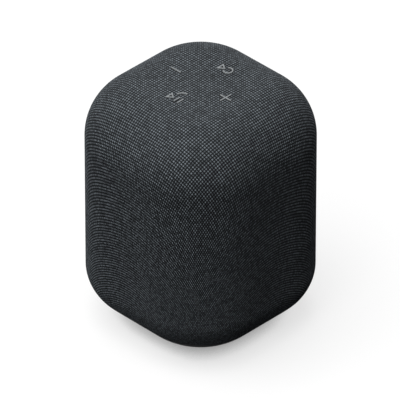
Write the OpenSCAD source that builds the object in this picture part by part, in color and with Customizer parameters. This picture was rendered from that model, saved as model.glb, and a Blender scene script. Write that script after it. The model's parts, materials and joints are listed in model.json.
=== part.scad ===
// Portable wireless speaker: a rounded upright block under one stretched cloth cover.
// Origin at the bottom centre, +Z up, front of the driver towards -Y, millimetres.

/* [Body] */
// Width of the body across its flats
body_w = 98; // [96:1:104]
// Height of the body without the raised key marks
body_h = 130; // [128:1:134]
// Radius of the upright corners
corner_r = 35.2; // [34.6:0.2:36]
// Reach of the top edge rounding towards the centre
top_round_h = 27; // [26:0.5:27.5]
// Drop of the top edge rounding
top_round_v = 29; // [28:0.5:30]
// Reach of the bottom edge rounding towards the centre
bottom_round_h = 41; // [40:0.5:41]
// Rise of the bottom edge rounding
bottom_round_v = 28; // [27.5:0.5:28.5]

/* [Cover] */
// Thickness of the cloth with its backing
cloth_t = 0.9; // [0.7:0.1:1]
// Height of the cloth's lower hem
hem_z = 14.6; // [14.5:0.1:14.8]
// Wall of the cage and the top cap
shell_t = 2; // [1.6:0.1:2.2]

/* [Keys] */
// Distance of each key from the centre of the top
key_reach = 16.5; // [16:0.5:17]
// Diameter of a key disc
key_d = 14.2; // [13.8:0.2:14.2]
// Travel of a key when it is pressed
key_travel = 0.5; // [0.3:0.1:0.5]
// Width of the raised lines of the key marks
mark_line = 0.7; // [0.6:0.1:0.9]
// Height of the raised marks above the cloth
mark_rise = 0.45; // [0.3:0.05:0.6]

/* [Driver] */
// Height of the driver's and radiators' axes
driver_z = 70; // [68:1:72]
// Outer diameter of the driver's flange
driver_d = 66; // [65.5:0.5:68]
// Outer diameter of the passive radiators' frames
radiator_d = 44; // [43.5:0.5:44]

/* [Battery] */
// Diameter of a battery cell
cell_d = 18.4; // [18:0.1:18.4]
// Length of a battery cell
cell_l = 65; // [63:0.5:65]

/* [Port] */
// Height of the charging port
port_z = 22.3; // [22.2:0.1:22.4]
// Width of the port's bezel
bezel_w = 20; // [19:0.5:21]

/* [Hidden] */
$fn = 64;
eps = 0.01;

// Body outline: arcs are given as [radius from the corner's axis, height]
core = body_w / 2 - corner_r;
arc_steps = 8;
seat_gap = 0.3;
cage_inset = cloth_t + seat_gap;
cage_inner = cage_inset + shell_t;
seam_z = body_h - top_round_v;
groove_z = hem_z - 1;
base_z = 2;
base_t = 3.5;

// Key stack, from the marks down to the switches
mark_top = body_h + mark_rise;
mark_gap = 0.3;
cap_top = body_h - cage_inset;
cap_under = body_h - cage_inner;
disc_top = cap_top - 0.1;
key_gap = 0.25;
flange_top = cap_under - 0.3;
flange_t = 0.8;
stem_top = body_h - 5.8;
stem_foot = stem_top - 1.9;
stem_d = 3.4;
board_t = 1.6;
control_z = body_h - 11;
control_top = control_z + board_t;
switch_w = 6.2;
cap_post = 22;

// Inner cabinet
cab = 36;
cab_wall = 2.4;
cab_r = 3;
cab_low = 26;
cab_high = 110;
split_y = 14;
gasket_t = 0.8;
rear_t = 2;
rear_y = split_y + gasket_t;
holder_y = rear_y + rear_t;
cab_post = 31;
cab_post_z = [31, 105];
radiator_y = -11;

// Driver, measured back from the baffle's front face
baffle_y = -cab;
driver_gasket_t = 0.6;
flange_y = baffle_y - driver_gasket_t;
driver_flange_t = 2.2;
driver_face = flange_y - driver_flange_t;
driver_bolt_r = 30;
bobbin_r = 8.85;
gap_plate_y = -19.4;
magnet_y = -16.4;
yoke_y = -9.4;
yoke_end_y = -6.4;
radiator_bolt_r = radiator_d / 2 - 1.8;
radiator_face = 2;
skin_t = 0.4;

// Boards and port
main_z = 19;
main_top = main_z + board_t;
posts = [[-15, -15], [15, -15], [-15, 9], [15, 9]];
socket_h = 3.3;
lead_hole_y = -8;
usb_w = 8.9;
usb_h = 3.2;
usb_in_y = 39.6;
usb_out_y = 46.9;
port_x = -2.5;
pipe_x = 6.5;
bezel_h = 8;
bezel_face = 48.6;

// ---- Profiles and shared shapes ----

function flip(p) = [for (i = [len(p) - 1:-1:0]) p[i]];

// Top edge rounding, sunk into the body by t
function top_arc(t) = [
  for (i = [0:arc_steps]) let (a = 90 * i / arc_steps) [
    corner_r - top_round_h + (top_round_h - t) * cos(a),
    seam_z + (top_round_v - t) * sin(a)
  ]
];

// Bottom edge rounding from height z up to the straight wall, sunk by t
function low_arc(t, z) = [
  for (i = [0:arc_steps])
    let (a = asin((bottom_round_v - z) / (bottom_round_v - t)) * (1 - i / arc_steps)) [
      corner_r - bottom_round_h + (bottom_round_h - t) * cos(a),
      bottom_round_v - (bottom_round_v - t) * sin(a)
    ]
];

// Radius of the body's corner at height z of the bottom rounding, sunk by t
function low_r(t, z) =
  corner_r - bottom_round_h
  + (bottom_round_h - t) * cos(asin((bottom_round_v - z) / (bottom_round_v - t)));

// Part of the bottom rounding between two heights
function low_band(t, z0, z1) = [
  for (i = [0:arc_steps]) let (z = z0 + (z1 - z0) * i / arc_steps) [low_r(t, z), z]
];

// Carries a profile round the body's four corners and four sides
module swept(profile) {
  for (i = [0:3])
    rotate(90 * i)
      translate([core, core, 0]) {
        rotate_extrude(angle = 90) polygon(profile);
        rotate([90, 0, 0]) linear_extrude(height = 2 * core) polygon(profile);
      }
}

// Fills the square between the corner axes
module core_block(z, h) {
  translate([-core, -core, z]) cube([2 * core, 2 * core, h]);
}

module ring(r_in, r_out, h) {
  difference() {
    cylinder(r = r_out, h = h);
    translate([0, 0, -1]) cylinder(r = r_in, h = h + 2);
  }
}

// Turns a +Z axis to the front, so that local z runs towards -Y
module facing_front(y) {
  translate([0, y, driver_z]) rotate([90, 0, 0]) children();
}

// Turns a +Z axis to side s, so that local z runs outwards along X
module facing_side(s) {
  translate([s * cab, radiator_y, driver_z]) rotate([0, s * 90, 0]) children();
}

module at_corners(a) {
  for (x = [-a, a], y = [-a, a]) translate([x, y, 0]) children();
}

module at_posts() {
  for (p = posts) translate([p[0], p[1], 0]) children();
}

module at_bolts(r) {
  for (a = [45:90:315]) rotate(a) translate([r, 0, 0]) children();
}

// Pan head screw with a cross slot, head up, shank down from z = 0
module screw(head_d, head_h, shank_d, shank_l) {
  difference() {
    cylinder(d = head_d, h = head_h);
    for (a = [0, 90])
      rotate(a) translate([-head_d * 0.3, -0.35, head_h * 0.45]) cube([head_d * 0.6, 0.7, head_h]);
  }
  translate([0, 0, -shank_l]) cylinder(d = shank_d, h = shank_l + eps);
}

// Flat outline with round ends
module stadium(w, h) {
  square([w - h, h], center = true);
  for (x = [-1, 1]) translate([x * (w - h) / 2, 0]) circle(d = h);
}

// Thin strip of thickness t along a path of [y, z] points
function strip(path, t) = concat(path, [
  for (i = [len(path) - 1:-1:0])
    let (
      p = path[max(i - 1, 0)],
      q = path[min(i + 1, len(path) - 1)],
      d = (q - p) / norm(q - p)
    ) path[i] + t * [d[1], -d[0]]
]);

// Round tube through points in the plane of a constant x, with rings of n points
module lead(x, path, r) {
  n = 10;
  rings = [
    for (i = [0:len(path) - 1])
      let (
        p = path[max(i - 1, 0)],
        q = path[min(i + 1, len(path) - 1)],
        d = (q - p) / norm(q - p)
      )
      for (k = [0:n - 1])
        let (a = 360 * k / n) [
          x + r * cos(a),
          path[i][0] + r * sin(a) * d[1],
          path[i][1] - r * sin(a) * d[0]
        ]
  ];
  sides = [
    for (i = [0:len(path) - 2], k = [0:n - 1])
      [i * n + k, i * n + (k + 1) % n, (i + 1) * n + (k + 1) % n, (i + 1) * n + k]
  ];
  caps = [
    [for (k = [n - 1:-1:0]) k],
    [for (k = [0:n - 1]) (len(path) - 1) * n + k]
  ];
  polyhedron(rings, concat(sides, caps));
}

// ---- Key marks, as outlines grown by g ----

function tri_in_r(w, h) = h * w / (h + 2 * sqrt(w * w + h * h / 4));

// Triangle with its base at x = 0 and its tip at x = w, grown by g
module triangle(w, h, g) {
  r = tri_in_r(w, h);
  k = (r + g) / r;
  polygon([[r - r * k, h / 2 * k], [r - r * k, -h / 2 * k], [r + (w - r) * k, 0]]);
}

tri_w = 3.5;
tri_h = 5;
tri_x = -3.9;
play_y = -0.7;
pair_y = 0.35;

module mark_minus(g) {
  square([6.4 + 2 * g, mark_line + 2 * g], center = true);
}

module mark_plus(g) {
  square([7.1 + 2 * g, mark_line + 2 * g], center = true);
  square([mark_line + 2 * g, 7.1 + 2 * g], center = true);
}

// Outlined triangle; its opening in the cloth is the whole triangle
module mark_triangle(g, solid) {
  translate([tri_x, 0]) difference() {
    triangle(tri_w, tri_h, g);
    if (!solid) triangle(tri_w, tri_h, -mark_line);
  }
}

// Quarter of a ring of outer radius r, from the left round to the top
module quarter_ring(r, g) {
  intersection() {
    difference() {
      circle(r = r + g);
      circle(r = r - mark_line - g);
    }
    translate([-r - 2, -g]) square([r + 2 + g, r + 2]);
  }
}

module mark_play(g, solid) {
  translate([0, play_y]) {
    mark_triangle(g, solid);
    for (x = [1.25, 3.45]) translate([x, 0.2]) square([mark_line + 2 * g, 4.2 + 2 * g], center = true);
  }
  translate([1.9, 2.5]) quarter_ring(3.8, g);
}

// Triangle whose tip enters a ring that is open towards it
module mark_pair(g, solid) {
  translate([0, pair_y]) {
    mark_triangle(g, solid);
    translate([1.3, 0.1]) difference() {
      circle(r = 2.6 + g);
      circle(r = 2.6 - mark_line - g);
      polygon([[0, 0], [-4, 4 - g * 1.4], [-4, -4 + g * 1.4]]);
    }
  }
}

module mark(i, g, solid) {
  if (i == 0) mark_minus(g);
  if (i == 1) mark_plus(g);
  if (i == 2) mark_play(g, solid);
  if (i == 3) mark_pair(g, solid);
}

key_places = [[-key_reach, 0], [key_reach, 0], [0, -key_reach], [0, key_reach]];

// ---- Outer pieces ----

module fabric_cover() {
  color([0.24, 0.25, 0.27]) difference() {
    union() {
      swept(concat(
        low_arc(0, hem_z), top_arc(0), [[0, body_h], [0, body_h - cloth_t]],
        flip(top_arc(cloth_t)), flip(low_arc(cloth_t, hem_z))
      ));
      core_block(body_h - cloth_t, cloth_t);
    }
    for (i = [0:3])
      translate([key_places[i][0], key_places[i][1], body_h - 2]) linear_extrude(height = 4)
        mark(i, mark_gap, true);
    port_cut(0.2);
  }
}

// Opening for the port's bezel, larger than it by g all round
module port_cut(g) {
  translate([0, body_w / 2 + 4, port_z]) rotate([90, 0, 0]) linear_extrude(height = 12)
    stadium(bezel_w + 2 * g, bezel_h + 2 * g);
}

module hem_ring() {
  r_out = low_r(0, groove_z) - 1.4;
  r_in = r_out - 3.8;
  color([0.06, 0.06, 0.065])
    swept([
      [r_in, groove_z + 0.05], [r_out, groove_z + 0.05], [r_out, hem_z - 0.3], [r_in, hem_z - 0.3]
    ]);
}

module grille_cage() {
  slot_w = 4.5;
  slot_pitch = 9;
  slot_z = 38;
  slot_h = seam_z - slot_z - 7;
  color([0.12, 0.12, 0.13]) difference() {
    swept(concat(
      low_arc(cage_inset, hem_z - 0.2),
      [[corner_r - cage_inset, seam_z], [corner_r - cage_inner, seam_z]],
      flip(low_arc(cage_inner, hem_z - 0.2))
    ));
    for (i = [-3:3], turn = [0, 90])
      rotate(turn) translate([i * slot_pitch - slot_w / 2, -body_w, slot_z])
        cube([slot_w, 2 * body_w, slot_h]);
    port_cut(0.2);
  }
}

module top_cap() {
  spigot_t = 1.6;
  spigot_h = 4;
  spigot_r = corner_r - cage_inner - 0.2;
  color([0.12, 0.12, 0.13]) difference() {
    union() {
      swept(concat(
        top_arc(cage_inset), [[0, cap_top], [0, cap_under]],
        [for (p = flip(top_arc(cage_inner))) if (p[1] > seam_z + spigot_h) p],
        [[spigot_r - spigot_t, seam_z + spigot_h], [spigot_r - spigot_t, seam_z - spigot_h],
         [spigot_r, seam_z - spigot_h], [spigot_r, seam_z]]
      ));
      core_block(cap_under, shell_t);
      at_corners(cap_post)
        translate([0, 0, control_top]) cylinder(d = 5.6, h = cap_under - control_top + 0.5);
    }
    for (p = key_places)
      translate([p[0], p[1], cap_under - 1]) cylinder(d = key_d + 2 * key_gap, h = 6);
    at_corners(cap_post) translate([0, 0, control_top - 1]) cylinder(d = 2.1, h = 6);
  }
}

module base_cap() {
  wall = 2.4;
  floor_z = base_z + base_t;
  spigot_r = low_r(0, groove_z) - 5.4;
  spigot_t = 2;
  spigot_top = groove_z + 4;
  bend_z = 10;
  color([0.09, 0.09, 0.095]) difference() {
    union() {
      swept(concat(
        low_band(0, base_z, groove_z),
        [[spigot_r, groove_z], [spigot_r, spigot_top], [spigot_r - spigot_t, spigot_top],
         [spigot_r - spigot_t, bend_z + 0.4]],
        flip(low_band(wall, floor_z, bend_z)), [[0, floor_z], [0, base_z]]
      ));
      core_block(base_z, base_t);
      at_posts() translate([0, 0, base_z + 1]) cylinder(d = 7, h = main_z - base_z - 1);
    }
    at_posts() {
      translate([0, 0, base_z - 1]) cylinder(d = 5.8, h = 3.2);
      cylinder(d = 3.4, h = main_z + 1);
    }
  }
}

module foot_pad() {
  half = 21;
  r = half - core;
  color([0.05, 0.05, 0.05]) {
    swept([[0, 0], [r - 0.6, 0], [r, 0.6], [r, base_z], [0, base_z]]);
    core_block(0, base_z);
  }
}

module base_screws() {
  color([0.55, 0.55, 0.57])
    at_posts()
      translate([0, 0, base_z + 2.2]) rotate([180, 0, 0]) screw(5.2, 1.8, 2.8, 20.5);
}

// ---- Keys and their switches ----

module key(i) {
  color([0.2, 0.21, 0.22]) translate([key_places[i][0], key_places[i][1], 0]) {
    translate([0, 0, flange_top - flange_t]) cylinder(d = key_d + 1.6, h = flange_t);
    translate([0, 0, flange_top - eps]) cylinder(d = key_d, h = disc_top - flange_top + eps);
    translate([0, 0, disc_top - eps]) linear_extrude(height = mark_top - disc_top + eps) mark(i, 0, false);
    if (i > 1)
      translate([0, i == 2 ? play_y : pair_y, disc_top - eps]) linear_extrude(height = body_h - 0.3 - disc_top)
        translate([tri_x, 0]) triangle(tri_w, tri_h, -mark_line / 2);
    translate([0, 0, stem_top]) cylinder(d = 3, h = flange_top - flange_t - stem_top + eps);
  }
}

module stem(i) {
  color([0.85, 0.85, 0.82]) translate([key_places[i][0], key_places[i][1], stem_foot])
    cylinder(d = stem_d, h = stem_top - stem_foot);
}

module key_minus() { key(0); }
module key_plus() { key(1); }
module key_play() { key(2); }
module key_pair() { key(3); }
module stem_minus() { stem(0); }
module stem_plus() { stem(1); }
module stem_play() { stem(2); }
module stem_pair() { stem(3); }

module switch_housings() {
  wall_h = 2.7;
  well_z = stem_foot - key_travel - 0.4 - control_top;
  color([0.15, 0.15, 0.15])
    for (p = key_places) translate([p[0], p[1], control_top]) difference() {
      translate([-switch_w / 2, -switch_w / 2, 0]) cube([switch_w, switch_w, wall_h]);
      translate([0, 0, well_z]) cylinder(d = stem_d + 0.6, h = wall_h);
    }
}

module control_board() {
  half = 26;
  r = 8;
  color([0.05, 0.25, 0.12]) difference() {
    translate([0, 0, control_z]) linear_extrude(height = board_t) {
      square([2 * half, 2 * (half - r)], center = true);
      square([2 * (half - r), 2 * half], center = true);
      for (x = [-1, 1], y = [-1, 1]) translate([x * (half - r), y * (half - r)]) circle(r = r);
    }
    at_corners(cap_post) translate([0, 0, control_z - 1]) cylinder(d = 2.6, h = board_t + 2);
  }
}

module control_board_screws() {
  color([0.6, 0.6, 0.62])
    at_corners(cap_post)
      translate([0, 0, control_z]) rotate([180, 0, 0]) screw(4, 1.2, 1.9, 5.5);
}

module control_ribbon() {
  ribbon_w = 8;
  back_y = 38.6;
  path = [
    [18, control_z - 1], [back_y - 3, control_z - 1], [back_y, control_z - 4],
    [back_y, main_top + 4], [back_y - 1.6, main_top + 1.6], [back_y - 3.4, main_top + 1]
  ];
  color([0.75, 0.42, 0.1]) {
    translate([-ribbon_w / 2, 0, 0]) rotate([90, 0, 90]) linear_extrude(height = ribbon_w)
      polygon(strip(path, 0.3));
    translate([-ribbon_w / 2 - 1, 16, control_z - 1.6]) cube([ribbon_w + 2, 3, 1.6]);
  }
}

// ---- Cabinet ----

// Plan of the cabinet's front half, pulled in by t; it runs back to y
module cabinet_plan(t, y) {
  r = cab_r - t;
  w = cab - t;
  translate([-w, -w + r]) square([2 * w, y + w - r]);
  translate([-w + r, -w]) square([2 * (w - r), r + 1]);
  for (x = [-1, 1]) translate([x * (w - r), -w + r]) circle(r = r);
}

// The four places of the rear cover's screws, local z towards the rear
module at_cover_screws(y) {
  for (x = [-cab_post, cab_post], z = cab_post_z) translate([x, y, z]) rotate([-90, 0, 0]) children();
}

module enclosure_front() {
  color([0.16, 0.16, 0.17]) difference() {
    union() {
      difference() {
        translate([0, 0, cab_low]) linear_extrude(height = cab_high - cab_low) cabinet_plan(0, split_y);
        translate([0, 0, cab_low + cab_wall]) linear_extrude(height = cab_high - cab_low - 2 * cab_wall)
          cabinet_plan(cab_wall, split_y + 1);
      }
      at_cover_screws(-2) cylinder(d = 6.4, h = split_y + 2);
      at_posts() translate([0, 0, main_top]) cylinder(d = 7, h = cab_low - main_top + 1);
      facing_front(baffle_y + 7) at_bolts(driver_bolt_r) cylinder(d = 6, h = 5.5);
      for (s = [-1, 1])
        facing_side(s) translate([0, 0, -5]) at_bolts(radiator_bolt_r) cylinder(d = 4.6, h = 3.5);
    }
    facing_front(baffle_y + 10) cylinder(r = 26, h = 20);
    facing_front(baffle_y + 8) at_bolts(driver_bolt_r) cylinder(d = 2.6, h = 10);
    for (s = [-1, 1]) facing_side(s) {
      translate([0, 0, -4]) cylinder(r = 17.8, h = 8);
      translate([0, 0, -6]) at_bolts(radiator_bolt_r) cylinder(d = 2, h = 10);
    }
    at_cover_screws(split_y - 11) cylinder(d = 2.4, h = 12);
    at_posts() translate([0, 0, main_top - 1]) cylinder(d = 3, h = 6);
    translate([0, lead_hole_y, cab_low - 1]) cylinder(d = 6, h = cab_wall + 2);
  }
}

module enclosure_gasket() {
  w = cab - cab_wall;
  color([0.04, 0.04, 0.04]) difference() {
    translate([-cab, split_y, cab_low]) cube([2 * cab, gasket_t, cab_high - cab_low]);
    translate([-w, split_y - 1, cab_low + cab_wall])
      cube([2 * w, gasket_t + 2, cab_high - cab_low - 2 * cab_wall]);
  }
}

module enclosure_rear() {
  rib_h = 1.2;
  color([0.16, 0.16, 0.17]) difference() {
    union() {
      translate([-cab, rear_y, cab_low]) cube([2 * cab, rear_t, cab_high - cab_low]);
      // Stiffening ribs beside the battery holder
      for (x = [-26, 24])
        translate([x, holder_y - eps, cab_low + 12]) cube([2, rib_h, cab_high - cab_low - 24]);
    }
    at_cover_screws(rear_y - 1) cylinder(d = 2.8, h = 4);
  }
}

module enclosure_screws() {
  color([0.55, 0.55, 0.57]) at_cover_screws(holder_y) screw(4.4, 1.5, 2.2, 12);
}

module damping_foam() {
  color([0.2, 0.2, 0.21]) translate([-27, split_y - 2.5, 36]) cube([54, 3, 64]);
}

// ---- Driver: profiles are [radius, y] about its axis ----

module spun(profile) {
  facing_front(0) rotate_extrude() polygon([for (p = profile) [p[0], -p[1]]]);
}

// Half roll of inner radius r about radius c, rising in direction s from the plane y,
// with a flat land on each side
function half_roll(c, r, land, y, s) =
  let (a0 = asin(skin_t / (r + skin_t)), n = 10) concat(
    [[c - r - land, y], [c - r - land, y + s * skin_t]],
    [for (i = [0:n]) let (a = 180 - a0 - i * (180 - 2 * a0) / n)
      [c + (r + skin_t) * cos(a), y + s * (r + skin_t) * sin(a)]],
    [[c + r + land, y + s * skin_t], [c + r + land, y]],
    [for (i = [0:n]) let (a = 180 * i / n) [c + r * cos(a), y + s * r * sin(a)]]
  );

module driver_basket() {
  color([0.1, 0.1, 0.1]) difference() {
    union() {
      spun([
        [9.6, gap_plate_y], [18.4, gap_plate_y], [18.4, -21.4], [25.6, -34], [25.6, flange_y],
        [driver_d / 2, flange_y], [driver_d / 2, driver_face], [24.4, driver_face], [24.4, -34.4],
        [17.2, -22.4], [15.2, -22.4], [15.2, -20.6], [9.6, -20.6]
      ]);
      // Terminal tag under the basket
      translate([-4, -23, driver_z - 23.5]) cube([8, 1.4, 5]);
    }
    facing_front(0) for (a = [30:60:330]) rotate(a) translate([14, -4.5, 24]) cube([14, 9, 9]);
    facing_front(0) translate([0, 0, -flange_y - 1]) at_bolts(driver_bolt_r) cylinder(d = 3, h = 5);
  }
}

module driver_top_plate() {
  color([0.6, 0.6, 0.58])
    spun([[9.5, gap_plate_y], [16.5, gap_plate_y], [16.5, magnet_y], [9.5, magnet_y]]);
}

module driver_magnet() {
  color([0.13, 0.13, 0.14]) spun([[10.5, magnet_y], [17.3, magnet_y], [17.3, yoke_y], [10.5, yoke_y]]);
}

module driver_yoke() {
  color([0.6, 0.6, 0.58]) spun([
    [0, gap_plate_y], [8.3, gap_plate_y], [8.3, yoke_y], [16.5, yoke_y], [16.5, yoke_end_y + 0.8],
    [15.7, yoke_end_y], [0, yoke_end_y]
  ]);
}

module driver_gasket() {
  color([0.04, 0.04, 0.04]) difference() {
    spun([
      [26.2, baffle_y], [driver_d / 2 - 0.2, baffle_y], [driver_d / 2 - 0.2, flange_y], [26.2, flange_y]
    ]);
    facing_front(baffle_y + 1) at_bolts(driver_bolt_r) cylinder(d = 3, h = 3);
  }
}

module driver_cone() {
  color([0.15, 0.15, 0.16]) spun([
    [bobbin_r, -28.2], [20.8, driver_face + 0.6], [22, driver_face + 0.6], [22, driver_face],
    [20.4, driver_face], [bobbin_r, -28.9]
  ]);
}

module driver_dust_cap() {
  rim_r = 10;
  rim_y = -30.15;
  rise = 2.8;
  rho = (rim_r * rim_r + rise * rise) / (2 * rise);
  span = asin(rim_r / rho);
  cy = rim_y + rho - rise;
  color([0.12, 0.12, 0.13]) spun(concat(
    [for (i = [0:8]) let (a = span * i / 8) [rho * sin(a), cy - rho * cos(a)]],
    [for (i = [8:-1:0]) let (a = span * i / 8) [(rho - 0.5) * sin(a), cy - (rho - 0.5) * cos(a)]]
  ));
}

// Bobbin with its winding, which stays behind the spider over the whole travel
module voice_coil() {
  bobbin_t = 0.25;
  wire_t = 0.3;
  wind_front = -20.8;
  wind_back = -14.4;
  color([0.72, 0.45, 0.2]) spun([
    [bobbin_r - bobbin_t, -28.6], [bobbin_r, -28.6], [bobbin_r, wind_front],
    [bobbin_r + wire_t, wind_front], [bobbin_r + wire_t, wind_back], [bobbin_r, wind_back],
    [bobbin_r, -13], [bobbin_r - bobbin_t, -13]
  ]);
}

module driver_surround() {
  color([0.05, 0.05, 0.05]) spun(half_roll(24.3, 1.9, 1.2, driver_face, -1));
}

// Corrugated disc from the bobbin out to the basket's ledge
module driver_spider() {
  y = -22.4;
  wave = 0.5;
  r0 = bobbin_r;
  r1 = 15.2;
  n = 24;
  top = [for (i = [0:n]) let (u = i / n) [r0 + (r1 - r0) * u, y - 0.5 - wave * sin(360 * 3 * u)]];
  color([0.78, 0.62, 0.3]) spun(concat(
    top, [[17, y - skin_t], [17, y], [15.2, y]],
    [for (i = [n - 1:-1:0]) top[i] + [0, skin_t]]
  ));
}

module driver_screws() {
  color([0.2, 0.2, 0.2]) facing_front(driver_face) at_bolts(driver_bolt_r) screw(4.8, 1.5, 2.4, 9);
}

module driver_lead() {
  color([0.65, 0.1, 0.08]) lead(0, [
    [-22.2, driver_z - 23.6], [-21.5, 42], [-17, 36], [-11, 32], [lead_hole_y, 30], [lead_hole_y, 26],
    [lead_hole_y, main_top + socket_h + 0.05]
  ], 1.1);
}

module lead_grommet() {
  color([0.05, 0.05, 0.05]) translate([0, lead_hole_y, 0]) {
    translate([0, 0, cab_low - 0.6]) ring(1.3, 2.9, cab_wall + 0.6);
    translate([0, 0, cab_low + cab_wall]) ring(1.3, 3.9, 0.8);
  }
}

// ---- Passive radiators, one on each side wall ----

module radiator_frame(s) {
  color([0.14, 0.14, 0.15]) facing_side(s) difference() {
    ring(17.4, radiator_d / 2, radiator_face);
    translate([0, 0, -1]) at_bolts(radiator_bolt_r) cylinder(d = 2.4, h = 4);
  }
}

module radiator_cone(s) {
  color([0.11, 0.11, 0.12]) facing_side(s) rotate_extrude() polygon([
    [0, 0.6], [4, 0.6], [13.2, 1.2], [13.8, 1.4], [13.8, radiator_face], [12.6, radiator_face],
    [4, 1.2], [0, 1.2]
  ]);
}

module radiator_surround(s) {
  color([0.05, 0.05, 0.05])
    facing_side(s) rotate_extrude() polygon(half_roll(15.8, 1.8, 0.6, radiator_face, 1));
}

module radiator_left_frame() { radiator_frame(-1); }
module radiator_left_cone() { radiator_cone(-1); }
module radiator_left_surround() { radiator_surround(-1); }
module radiator_right_frame() { radiator_frame(1); }
module radiator_right_cone() { radiator_cone(1); }
module radiator_right_surround() { radiator_surround(1); }

module radiator_screws() {
  color([0.2, 0.2, 0.2]) for (s = [-1, 1])
    facing_side(s) translate([0, 0, radiator_face]) at_bolts(radiator_bolt_r) screw(3.4, 1.2, 1.9, 6);
}

// ---- Battery, upright behind the cabinet ----

holder_wall = 1.4;
holder_w = 2 * cell_d + 4;
cell_y = holder_y + holder_wall + cell_d / 2 + 0.2;
cell_x = cell_d / 2 + 0.3;
cell_z = 33.5;
holder_z = cell_z - 2.5;
holder_h = cell_l + 5;

module battery_holder() {
  end_d = holder_wall + cell_d + 0.4;
  inner_w = holder_w - 2 * holder_wall;
  color([0.14, 0.14, 0.14]) difference() {
    union() {
      translate([-holder_w / 2, holder_y, holder_z]) cube([holder_w, cell_d * 0.65, holder_h]);
      for (z = [holder_z, holder_z + holder_h - holder_wall])
        translate([-holder_w / 2, holder_y, z]) cube([holder_w, end_d, holder_wall]);
    }
    translate([-inner_w / 2, holder_y + holder_wall, holder_z + holder_wall])
      cube([inner_w, cell_d * 2, holder_h - 2 * holder_wall]);
    translate([13, cell_y + 7, holder_z - 1]) cylinder(d = 3.2, h = 4);
  }
}

module battery_cells() {
  button_h = 0.8;
  color([0.1, 0.3, 0.55]) for (x = [-cell_x, cell_x])
    translate([x, cell_y, cell_z]) {
      cylinder(d = cell_d, h = cell_l - button_h);
      cylinder(d = 5.6, h = cell_l);
    }
}

// Nickel strips across the cells' ends
module battery_tabs() {
  color([0.75, 0.74, 0.7]) for (z = [cell_z - 0.3, cell_z + cell_l])
    translate([-14.5, cell_y - 3, z]) cube([29, z < cell_z ? 11 : 6, 0.25]);
}

module battery_lead() {
  color([0.7, 0.1, 0.08]) lead(13, [
    [cell_y + 7, cell_z - 0.35], [cell_y + 7, 30], [cell_y + 6.6, 28], [cell_y + 5.4, 26.4],
    [cell_y + 5, 25], [cell_y + 5, main_top + socket_h + 0.05]
  ], 1.1);
}

// ---- Main board, its parts and the charging port ----

module main_board() {
  w = 28;
  y0 = -28;
  y1 = 36;
  r = 3;
  tongue_w = 9;
  tongue_y = 42.4;
  color([0.05, 0.22, 0.12]) difference() {
    translate([0, 0, main_z]) linear_extrude(height = board_t) {
      translate([-w, y0 + r]) square([2 * w, y1 - y0 - 2 * r]);
      translate([-w + r, y0]) square([2 * (w - r), y1 - y0]);
      for (x = [-w + r, w - r], y = [y0 + r, y1 - r]) translate([x, y]) circle(r = r);
      translate([-tongue_w, y1 - 1]) square([2 * tongue_w, tongue_y - y1 + 1]);
    }
    at_posts() translate([0, 0, main_z - 1]) cylinder(d = 3.4, h = board_t + 2);
  }
}

// Flat packages: [x, y, width, depth, height] on the board's upper side
chips = [
  [-9, -22, 7, 7, 1], [9, -22, 5, 4, 1], [-22, 22, 6, 6, 1.1], [22, 20, 5, 5, 1], [22, -2, 4, 6, 1.2],
  [-22, -2, 5, 5, 0.9], [pipe_x, 41, 1.6, 1, 0.7]
];

module board_chips() {
  color([0.08, 0.08, 0.08])
    for (c = chips) translate([c[0] - c[2] / 2, c[1] - c[3] / 2, main_top]) cube([c[2], c[3], c[4]]);
}

module board_capacitors() {
  color([0.7, 0.71, 0.73]) for (p = [[-22, -8], [22, -8], [-22, 16], [22, 16], [0, 24]])
    translate([p[0], p[1], main_z - 9]) {
      cylinder(d = 8, h = 8.2);
      translate([0, 0, 8.2]) cylinder(d = 8.4, h = 0.8);
    }
}

module board_coils() {
  side = 9;
  h = 4.5;
  color([0.3, 0.3, 0.31]) for (x = [-5.5, 5.5])
    translate([x - side / 2, -23, main_z - h]) cube([side, side, h]);
}

module rf_shield() {
  w = 18;
  d = 14;
  h = 2.4;
  t = 0.25;
  color([0.75, 0.76, 0.77]) translate([-13, 13, main_top]) difference() {
    cube([w, d, h]);
    translate([t, t, -1]) cube([w - 2 * t, d - 2 * t, h + 1 - t]);
  }
}

// Plug sockets of the driver lead, the battery lead and the control ribbon
module board_sockets() {
  color([0.88, 0.87, 0.82]) {
    translate([-4, -10.5, main_top]) cube([8, 5, socket_h]);
    translate([9.5, cell_y + 2.5, main_top]) cube([7, 5, socket_h]);
    translate([-5.5, 32.4, main_top]) cube([11, 3.2, 0.9]);
  }
}

module along_port(x, y, l) {
  translate([x, y, port_z]) rotate([90, 0, 0]) linear_extrude(height = l) children();
}

module usb_shell() {
  t = 0.3;
  color([0.72, 0.73, 0.75]) {
    along_port(port_x, usb_out_y, usb_out_y - usb_in_y) difference() {
      stadium(usb_w, usb_h);
      stadium(usb_w - 2 * t, usb_h - 2 * t);
    }
    along_port(port_x, usb_in_y + 0.4, 0.4) stadium(usb_w - t, usb_h - t);
  }
}

module usb_tongue() {
  color([0.05, 0.05, 0.05]) {
    along_port(port_x, usb_in_y + 1.9, 1.4) stadium(usb_w - 0.8, usb_h - 0.8);
    along_port(port_x, usb_out_y - 1.2, 4.3) square([6.7, 0.7], center = true);
  }
}

module port_bezel() {
  color([0.07, 0.07, 0.07]) difference() {
    along_port(0, bezel_face, 5.4) stadium(bezel_w, bezel_h);
    along_port(port_x, bezel_face + 1, 8) stadium(usb_w + 0.6, usb_h + 0.6);
    translate([pipe_x, bezel_face + 1, port_z]) rotate([90, 0, 0]) cylinder(d = 2.3, h = 8);
  }
}

module light_pipe() {
  color([0.9, 0.92, 0.92])
    translate([pipe_x, bezel_face + 0.05, port_z]) rotate([90, 0, 0]) cylinder(d = 2, h = 5.4);
}

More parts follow.
